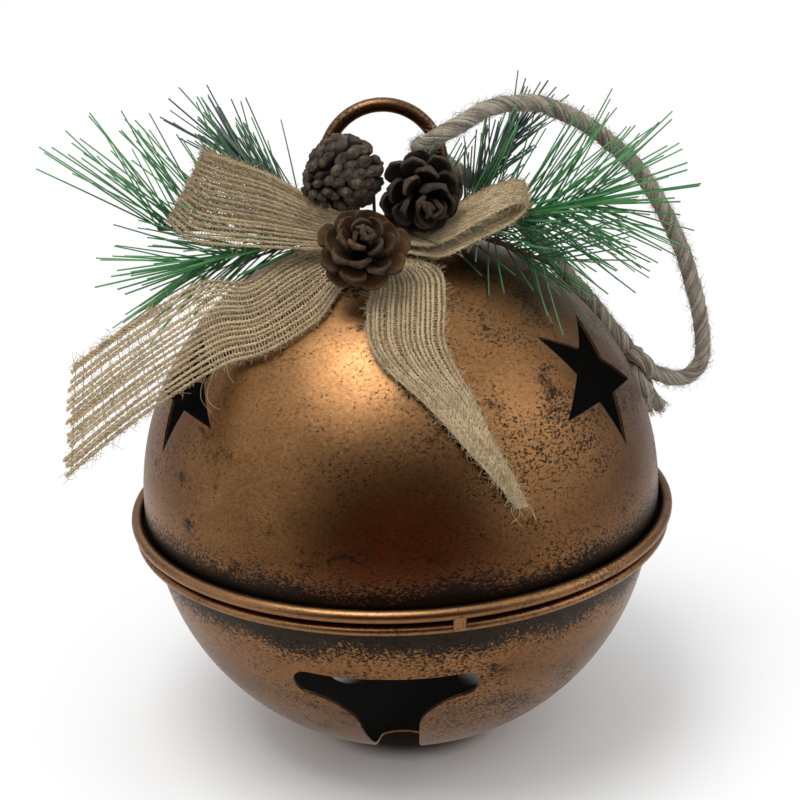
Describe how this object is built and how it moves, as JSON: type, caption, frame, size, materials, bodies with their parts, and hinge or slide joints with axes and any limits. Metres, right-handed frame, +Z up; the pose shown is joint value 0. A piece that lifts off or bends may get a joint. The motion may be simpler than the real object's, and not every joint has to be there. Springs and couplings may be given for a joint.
{
  "type": "christmas bell ornament",
  "caption": "Large round sheet-metal jingle bell with star cut-outs, rolled rim, hanger loop, swinging clapper, jute rope and a bow with pine sprigs and cones on its crown.",
  "frame": {"origin": "middle of the bell's flat foot, on the surface it stands on", "axes": "+Z up through the crown and the hanger loop, -Y to the front where the bow is, +X to the viewer's right"},
  "size_m": [0.3049, 0.253, 0.3098],
  "materials": {
    "aged_copper": "rubbed antique copper with dark patina",
    "dark_steel": "dark iron",
    "jute": "natural twisted jute",
    "burlap": "natural open weave",
    "florist_wire": "dark annealed wire",
    "pine_green": "cut film needles, bright green",
    "pine_dark": "cut film needles, dark green",
    "stem_brown": "brown wrapped wire stem",
    "pine_cone": "dry natural cone"
  },
  "bodies": {
    "bell": {"upper_shell": "aged_copper", "lower_shell": "aged_copper", "rim_tack_1": "aged_copper", "rim_tack_2": "aged_copper", "rim_tack_3": "aged_copper", "hanger_loop": "aged_copper", "loop_weld_left": "aged_copper", "loop_weld_right": "aged_copper", "clapper_staple": "dark_steel", "hanging_rope": "jute", "rope_knot": "jute", "bow_loop_left": "burlap", "bow_loop_right": "burlap", "bow_tails": "burlap", "bow_wire": "florist_wire", "stem_wire_left": "florist_wire", "stem_wire_right": "florist_wire", "pine_cone_left": "pine_cone", "pine_cone_right": "pine_cone", "pine_cone_front": "pine_cone", "pine_stem_left_rear": "stem_brown", "pine_stem_left": "stem_brown", "pine_stem_left_low": "stem_brown", "pine_stem_right_rear": "stem_brown", "pine_stem_right": "stem_brown", "pine_stem_right_low": "stem_brown", "pine_sprig_left_rear": "pine_dark", "pine_sprig_left": "pine_green", "pine_sprig_left_low": "pine_green", "pine_sprig_right_rear": "pine_dark", "pine_sprig_right": "pine_green", "pine_sprig_right_low": "pine_dark"},
    "clapper": {"clapper_rod": "dark_steel", "clapper_ball": "dark_steel"}
  },
  "joints": [
    {"name": "clapper_swing", "type": "hinge", "parent": "bell", "child": "clapper", "pos_m": [0, 0, 0.2252], "axis": [1, 0, 0], "range_deg": [-26, 26]}
  ]
}
